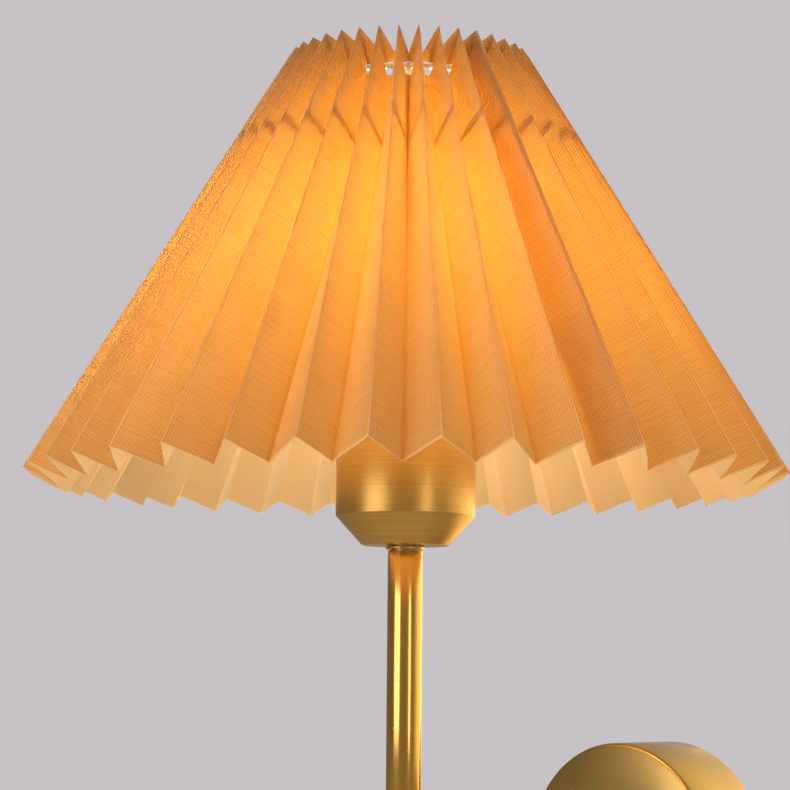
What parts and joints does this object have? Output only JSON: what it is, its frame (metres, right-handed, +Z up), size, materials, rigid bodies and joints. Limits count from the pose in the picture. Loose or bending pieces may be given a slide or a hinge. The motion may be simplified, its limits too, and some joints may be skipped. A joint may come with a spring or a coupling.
{
  "type": "wall lamp with pleated shade",
  "caption": "Wall lamp: a pleated cone shade on a wire carrier over a brass cup and stem, held out from a round wall plate by an arm.",
  "frame": {"origin": "centre of the wall bracket's back face, on the wall", "axes": "+Y into the wall, +Z up along the stem, lamp stands out towards -Y"},
  "size_m": [0.2602, 0.2835, 0.3253],
  "materials": {
    "satin_brass": "satin",
    "polished_brass": "polished",
    "zinc_steel": "zinc plated",
    "white_wire": "white enamelled wire",
    "pleated_linen": "woven linen laminated to a white backing",
    "black_bakelite": "moulded",
    "opal_glass": "opal",
    "white_plastic": "moulded",
    "bulb_metal": "nickel plated",
    "contact_brass": "stamped",
    "lead_brown": "insulated lead",
    "lead_blue": "insulated lead",
    "lead_green_yellow": "insulated lead"
  },
  "bodies": {
    "wall_mount": {"wall_bracket": "zinc_steel", "wall_cover": "satin_brass", "terminal_block": "white_plastic", "terminal_screw_live": "contact_brass", "terminal_screw_neutral": "contact_brass", "terminal_screw_earth": "contact_brass", "earth_screw": "contact_brass", "earth_tag": "zinc_steel", "arm_collar": "polished_brass", "arm_tube": "polished_brass", "arm_washer": "zinc_steel", "arm_nut": "contact_brass", "arm_nipple": "zinc_steel", "arm_hub": "polished_brass", "hub_finial": "polished_brass", "stem_tube": "polished_brass", "stem_collar": "polished_brass", "socket_cup": "satin_brass", "cup_nut": "contact_brass", "holder_nipple": "zinc_steel", "holder_cap": "black_bakelite", "lampholder_body": "black_bakelite", "screw_shell": "contact_brass", "centre_contact": "contact_brass", "live_lead": "lead_brown", "neutral_lead": "lead_blue", "earth_lead": "lead_green_yellow"},
    "shade": {"pleated_shade": "pleated_linen", "top_wire_ring": "white_wire", "low_wire_ring": "white_wire", "carrier_plate": "white_wire", "carrier_leg_1": "white_wire", "carrier_leg_2": "white_wire", "carrier_leg_3": "white_wire"},
    "bulb": {"bulb_glass": "opal_glass", "bulb_cap": "bulb_metal", "bulb_insulator": "black_bakelite", "bulb_tip": "bulb_metal", "bulb_light_board": "white_plastic"},
    "lock_ring": {"lock_ring": "black_bakelite"},
    "cover_screw_right": {"cover_screw_right": "polished_brass"},
    "cover_screw_left": {"cover_screw_left": "polished_brass"}
  },
  "joints": [
    {"name": "shade_turn", "type": "hinge", "parent": "wall_mount", "child": "shade", "pos_m": [0, -0.153, 0.1355], "axis": [0, 0, 1], "continuous": true},
    {"name": "lock_ring_turn", "type": "hinge", "parent": "wall_mount", "child": "lock_ring", "pos_m": [0, -0.153, 0.1355], "axis": [0, 0, 1], "continuous": true},
    {"name": "bulb_turn", "type": "hinge", "parent": "wall_mount", "child": "bulb", "pos_m": [0, -0.153, 0.1355], "axis": [0, 0, 1], "continuous": true},
    {"name": "right_screw_turn", "type": "hinge", "parent": "wall_mount", "child": "cover_screw_right", "pos_m": [0.0425, -0.018, 0], "axis": [1, 0, 0], "continuous": true},
    {"name": "left_screw_turn", "type": "hinge", "parent": "wall_mount", "child": "cover_screw_left", "pos_m": [-0.0425, -0.018, 0], "axis": [1, 0, 0], "continuous": true}
  ]
}
